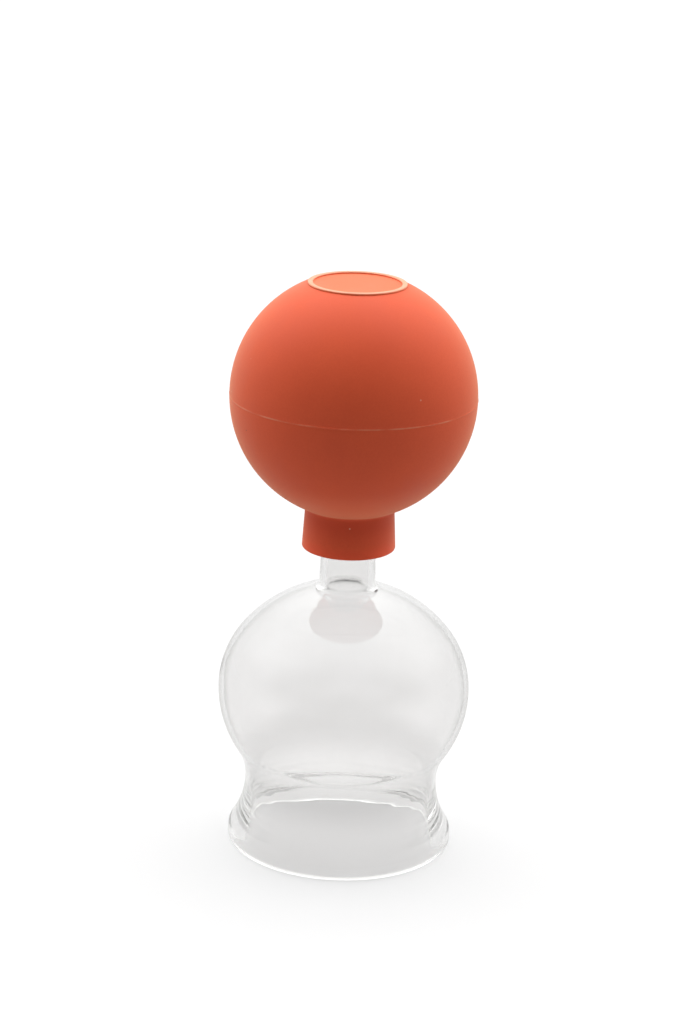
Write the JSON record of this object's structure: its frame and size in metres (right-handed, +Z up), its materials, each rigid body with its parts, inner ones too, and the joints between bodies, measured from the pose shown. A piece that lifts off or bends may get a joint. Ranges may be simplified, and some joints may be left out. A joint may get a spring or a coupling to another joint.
{
  "type": "cupping glass",
  "caption": "Cupping glass: a blown glass bell with a flared lip and a tube neck, gripped by the sleeve of a hollow rubber ball that is squeezed to draw air.",
  "frame": {"origin": "centre of the mouth, on the plane that the lip stands on", "axes": "+Z up along the axis of the bell, neck and ball"},
  "size_m": [0.0624, 0.0624, 0.1434],
  "materials": {
    "glass": "clear, blown, fire polished",
    "rubber": "matte, moulded, worn paler on its edges"
  },
  "bodies": {
    "glass": {"glass_cup": "glass"},
    "bulb": {"bulb_lower_half": "rubber", "bulb_upper_half": "rubber"},
    "crown": {"bulb_crown": "rubber"}
  },
  "joints": [
    {"name": "bulb_pull_off", "type": "slide", "parent": "glass", "child": "bulb", "axis": [0, 0, 1], "range_m": [0, 0.03]},
    {"name": "bulb_squeeze", "type": "slide", "parent": "bulb", "child": "crown", "axis": [0, 0, -1], "range_m": [0, 0.018], "stiffness_N_per_m": 600, "deforming": ["bulb_upper_half"]}
  ]
}
